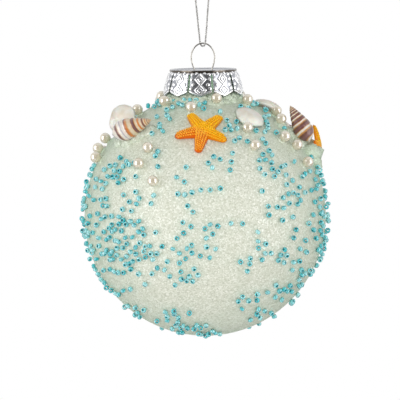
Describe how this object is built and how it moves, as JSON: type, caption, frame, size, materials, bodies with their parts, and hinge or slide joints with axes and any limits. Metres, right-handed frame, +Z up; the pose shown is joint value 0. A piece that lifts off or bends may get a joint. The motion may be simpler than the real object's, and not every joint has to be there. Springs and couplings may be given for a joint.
{
  "type": "christmas bauble",
  "caption": "Round hollow glass hanging ornament with a pressed metal cap, wire hanger and cord loop, trimmed with shells, starfish, pearls and seed beads.",
  "frame": {"origin": "top of the inside of the cord loop, where the twig or hook that carries the bauble bears", "axes": "+Z up along the bauble's axis, from the ball through the cap to the loop; the front, with the orange starfish, faces -Y"},
  "size_m": [0.0998, 0.0977, 0.1466],
  "materials": {
    "frosted_glass": "pale sage glitter frost on blown glass, matt and opaque",
    "pressed_silver": "thin pressed sheet, bright silver",
    "steel_wire": "drawn spring wire, slightly dull",
    "silver_thread": "twisted metallic thread",
    "ivory_pearl": "pearl coat, glossy",
    "orange_resin": "translucent resin, half gloss, rows of tiny knobs",
    "white_shell": "natural shell, half gloss",
    "striped_shell": "natural shell, brown and purple bands on cream, polished",
    "aqua_glass": "transparent turquoise seed beads, glossy"
  },
  "bodies": {
    "root": {"glass_ball": "frosted_glass", "cap": "pressed_silver", "hanger_wire": "steel_wire", "cord_loop": "silver_thread", "cord_knot": "silver_thread", "starfish_front": "orange_resin", "starfish_right_rear": "orange_resin", "starfish_back": "orange_resin", "clam_shell_left": "white_shell", "clam_shell_right": "white_shell", "clam_shell_right_rear": "white_shell", "clam_shell_back_left": "white_shell", "clam_shell_back_right": "white_shell", "turret_shell_left": "striped_shell", "turret_shell_right": "striped_shell", "turret_shell_back_left": "striped_shell", "turret_shell_back_right": "striped_shell", "pearl_1": "ivory_pearl", "pearl_2": "ivory_pearl", "pearl_3": "ivory_pearl", "pearl_4": "ivory_pearl", "pearl_5": "ivory_pearl", "pearl_6": "ivory_pearl", "pearl_7": "ivory_pearl", "pearl_8": "ivory_pearl", "pearl_9": "ivory_pearl", "pearl_10": "ivory_pearl", "pearl_11": "ivory_pearl", "pearl_12": "ivory_pearl", "pearl_13": "ivory_pearl", "pearl_14": "ivory_pearl", "pearl_15": "ivory_pearl", "pearl_16": "ivory_pearl", "pearl_17": "ivory_pearl", "pearl_18": "ivory_pearl", "pearl_19": "ivory_pearl", "pearl_20": "ivory_pearl", "pearl_21": "ivory_pearl", "pearl_22": "ivory_pearl", "pearl_23": "ivory_pearl", "pearl_24": "ivory_pearl", "pearl_25": "ivory_pearl", "pearl_26": "ivory_pearl", "pearl_27": "ivory_pearl", "pearl_28": "ivory_pearl", "pearl_29": "ivory_pearl", "pearl_30": "ivory_pearl", "pearl_31": "ivory_pearl", "pearl_32": "ivory_pearl", "bead_drift_1": "aqua_glass", "bead_drift_2": "aqua_glass", "bead_drift_3": "aqua_glass", "bead_drift_4": "aqua_glass", "bead_drift_5": "aqua_glass", "bead_drift_6": "aqua_glass", "bead_drift_7": "aqua_glass", "bead_drift_8": "aqua_glass"}
  },
  "joints": []
}
